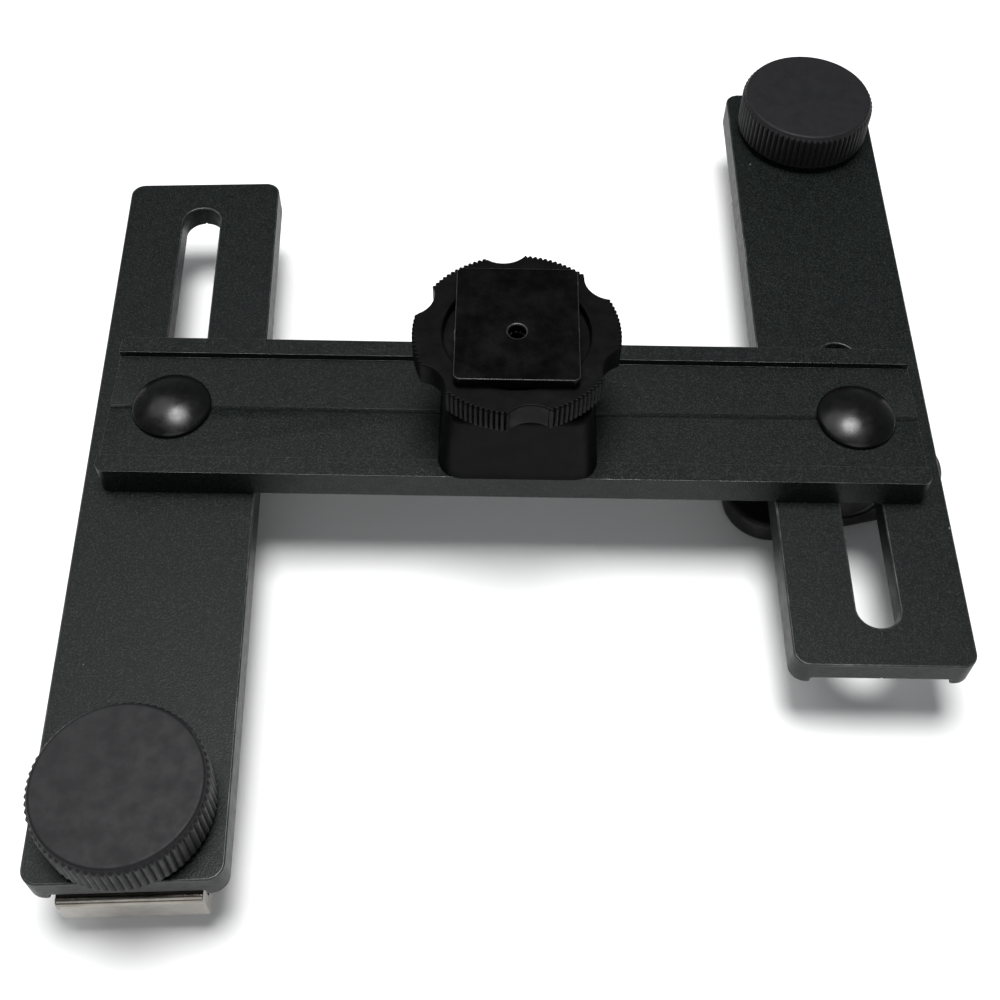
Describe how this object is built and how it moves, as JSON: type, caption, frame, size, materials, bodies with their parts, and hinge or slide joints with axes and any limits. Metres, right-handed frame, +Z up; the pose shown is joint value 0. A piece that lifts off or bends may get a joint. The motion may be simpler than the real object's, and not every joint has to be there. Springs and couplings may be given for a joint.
{
  "type": "twin flash bracket",
  "caption": "Adjustable bracket that holds flash units either side of a camera on slotted arms that swivel and slide under a grooved rail.",
  "frame": {"origin": "middle of the footprint, on the surface the bracket stands on, with the camera foot up", "axes": "+X along the rail, +Y away from the user, +Z up through the camera foot"},
  "size_m": [0.1466, 0.1652, 0.0443],
  "materials": {
    "anodised_bar": "bead-blasted, black anodised, satin",
    "pedestal_black": "satin black enamel on a cast block",
    "foot_black": "semi-gloss black, scuffed",
    "bolt_black": "gloss black",
    "knob_plastic": "fine matt moulded plastic",
    "wheel_plastic": "semi-matt moulded plastic",
    "clamp_plastic": "semi-matt moulded plastic",
    "spacer_plastic": "plain moulded plastic",
    "shoe_chrome": "bright chrome plate",
    "zinc_steel": "zinc-plated",
    "insert_brass": "turned"
  },
  "bodies": {
    "rail": {"rail": "anodised_bar", "pedestal": "pedestal_black", "foot_stem": "zinc_steel", "hot_shoe_foot": "foot_black", "left_pedestal_screw": "zinc_steel", "right_pedestal_screw": "zinc_steel", "left_bolt": "bolt_black", "right_bolt": "bolt_black"},
    "lock_washer": {"lock_washer": "zinc_steel"},
    "lock_wheel": {"lock_wheel": "wheel_plastic", "wheel_insert": "insert_brass"},
    "left_arm_guide": {"left_arm_guide": "zinc_steel"},
    "left_arm": {"left_arm": "anodised_bar", "left_shoe_spacer": "spacer_plastic"},
    "left_shoe": {"left_shoe": "shoe_chrome", "left_shoe_nut": "zinc_steel"},
    "left_knob_washer": {"left_knob_washer": "zinc_steel"},
    "left_shoe_knob": {"left_shoe_knob": "knob_plastic", "left_knob_screw": "zinc_steel"},
    "left_clamp_washer": {"left_clamp_washer": "zinc_steel"},
    "left_clamp_knob": {"left_clamp_knob": "clamp_plastic", "left_clamp_insert": "insert_brass"},
    "right_arm_guide": {"right_arm_guide": "zinc_steel"},
    "right_arm": {"right_arm": "anodised_bar", "right_shoe_spacer": "spacer_plastic"},
    "right_shoe": {"right_shoe": "shoe_chrome", "right_shoe_nut": "zinc_steel"},
    "right_knob_washer": {"right_knob_washer": "zinc_steel"},
    "right_shoe_knob": {"right_shoe_knob": "knob_plastic", "right_knob_screw": "zinc_steel"},
    "right_clamp_washer": {"right_clamp_washer": "zinc_steel"},
    "right_clamp_knob": {"right_clamp_knob": "clamp_plastic", "right_clamp_insert": "insert_brass"}
  },
  "joints": [
    {"name": "wheel_lift", "type": "slide", "parent": "rail", "child": "lock_washer", "axis": [0, 0, 1], "range_m": [-0.001, 0]},
    {"name": "wheel_turn", "type": "hinge", "parent": "lock_washer", "child": "lock_wheel", "pos_m": [-0.00148, -0.00383, 0.01805], "axis": [0, 0, 1], "range_deg": [-288, 0]},
    {"name": "left_arm_swivel", "type": "hinge", "parent": "rail", "child": "left_arm_guide", "pos_m": [-0.05713, -0.00383, 0.01805], "axis": [0, 0, 1], "range_deg": [-60, 60]},
    {"name": "left_arm_slide", "type": "slide", "parent": "left_arm_guide", "child": "left_arm", "axis": [-0.0454, 0.999, 0], "range_m": [-0.0467, 0.0025]},
    {"name": "left_shoe_turn", "type": "hinge", "parent": "left_arm", "child": "left_shoe", "pos_m": [-0.05411, -0.07026, 0.0178], "axis": [0, 0, 1], "continuous": true},
    {"name": "left_knob_lift", "type": "slide", "parent": "left_arm", "child": "left_knob_washer", "axis": [0, 0, 1], "range_m": [0, 0.001]},
    {"name": "left_knob_turn", "type": "hinge", "parent": "left_knob_washer", "child": "left_shoe_knob", "pos_m": [-0.05411, -0.07026, 0.0178], "axis": [0, 0, 1], "range_deg": [0, 360]},
    {"name": "left_clamp_drop", "type": "slide", "parent": "rail", "child": "left_clamp_washer", "axis": [0, 0, 1], "range_m": [-0.002, 0]},
    {"name": "left_clamp_turn", "type": "hinge", "parent": "left_clamp_washer", "child": "left_clamp_knob", "pos_m": [-0.05713, -0.00383, 0.01805], "axis": [0, 0, 1], "range_deg": [-720, 0]},
    {"name": "right_arm_swivel", "type": "hinge", "parent": "rail", "child": "right_arm_guide", "pos_m": [0.05417, -0.00383, 0.01805], "axis": [0, 0, 1], "range_deg": [-60, 60]},
    {"name": "right_arm_slide", "type": "slide", "parent": "right_arm_guide", "child": "right_arm", "axis": [0, 1, 0], "range_m": [-0.0163, 0.0329]},
    {"name": "right_shoe_turn", "type": "hinge", "parent": "right_arm", "child": "right_shoe", "pos_m": [0.05417, 0.07027, 0.0178], "axis": [0, 0, 1], "continuous": true},
    {"name": "right_knob_lift", "type": "slide", "parent": "right_arm", "child": "right_knob_washer", "axis": [0, 0, 1], "range_m": [0, 0.001]},
    {"name": "right_knob_turn", "type": "hinge", "parent": "right_knob_washer", "child": "right_shoe_knob", "pos_m": [0.05417, 0.07027, 0.0178], "axis": [0, 0, 1], "range_deg": [0, 360]},
    {"name": "right_clamp_drop", "type": "slide", "parent": "rail", "child": "right_clamp_washer", "axis": [0, 0, 1], "range_m": [-0.002, 0]},
    {"name": "right_clamp_turn", "type": "hinge", "parent": "right_clamp_washer", "child": "right_clamp_knob", "pos_m": [0.05417, -0.00383, 0.01805], "axis": [0, 0, 1], "range_deg": [-720, 0]}
  ],
  "couplings": [
    {"joint": "wheel_turn", "follows": "wheel_lift", "rad_per_m": 5026.5},
    {"joint": "left_knob_turn", "follows": "left_knob_lift", "rad_per_m": 6283.2},
    {"joint": "left_clamp_turn", "follows": "left_clamp_drop", "rad_per_m": 6283.2},
    {"joint": "right_knob_turn", "follows": "right_knob_lift", "rad_per_m": 6283.2},
    {"joint": "right_clamp_turn", "follows": "right_clamp_drop", "rad_per_m": 6283.2}
  ]
}
